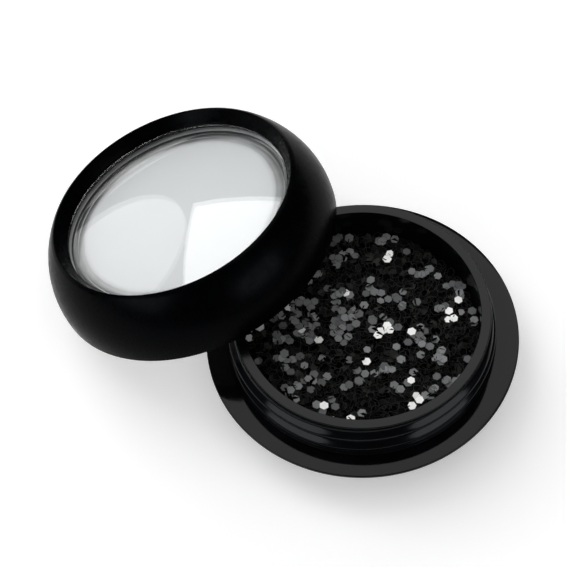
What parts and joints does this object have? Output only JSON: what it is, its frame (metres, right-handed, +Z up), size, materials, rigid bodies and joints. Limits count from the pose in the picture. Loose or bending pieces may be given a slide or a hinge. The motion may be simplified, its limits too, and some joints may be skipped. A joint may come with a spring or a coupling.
{
  "type": "cosmetic glitter jar",
  "caption": "Small round saucer-based jar with a threaded neck, filled with loose hexagonal glitter, and a barrel-shaped screw lid with a clear domed window leaning on it.",
  "frame": {"origin": "centre of the jar's flat foot, on the floor it stands on", "axes": "+Z up along the jar's own axis; the lid leans on the jar's neck on the -X, +Y side; -Y faces the viewer"},
  "size_m": [0.0578, 0.0497, 0.0204],
  "materials": {
    "base_shell": "polished moulded black",
    "inner_cup": "polished moulded black",
    "glitter_bed": "packed black flakes",
    "flakes_black": "glossy black film",
    "flakes_grey": "glossy grey film",
    "flakes_silver": "bright silver film",
    "lid_ring": "polished moulded black",
    "lid_window": "clear polished acrylic",
    "lid_insert": "pale moulded",
    "seal_disc": "pale foam liner"
  },
  "bodies": {
    "jar": {"base_shell": "base_shell", "inner_cup": "inner_cup", "glitter_bed": "glitter_bed", "flakes_black": "flakes_black", "flakes_grey": "flakes_grey", "flakes_silver": "flakes_silver"},
    "seal": {"seal_disc": "seal_disc"},
    "lid": {"lid_ring": "lid_ring", "lid_window": "lid_window", "lid_insert": "lid_insert"}
  },
  "joints": [
    {"name": "lid_lift", "type": "slide", "parent": "jar", "child": "seal", "axis": [-0.2919, 0.2051, 0.9342], "range_m": [0, 0.03]},
    {"name": "lid_turn", "type": "hinge", "parent": "seal", "child": "lid", "pos_m": [-0.02019, 0.01208, 0.00621], "axis": [-0.2919, 0.2051, 0.9342], "continuous": true}
  ]
}
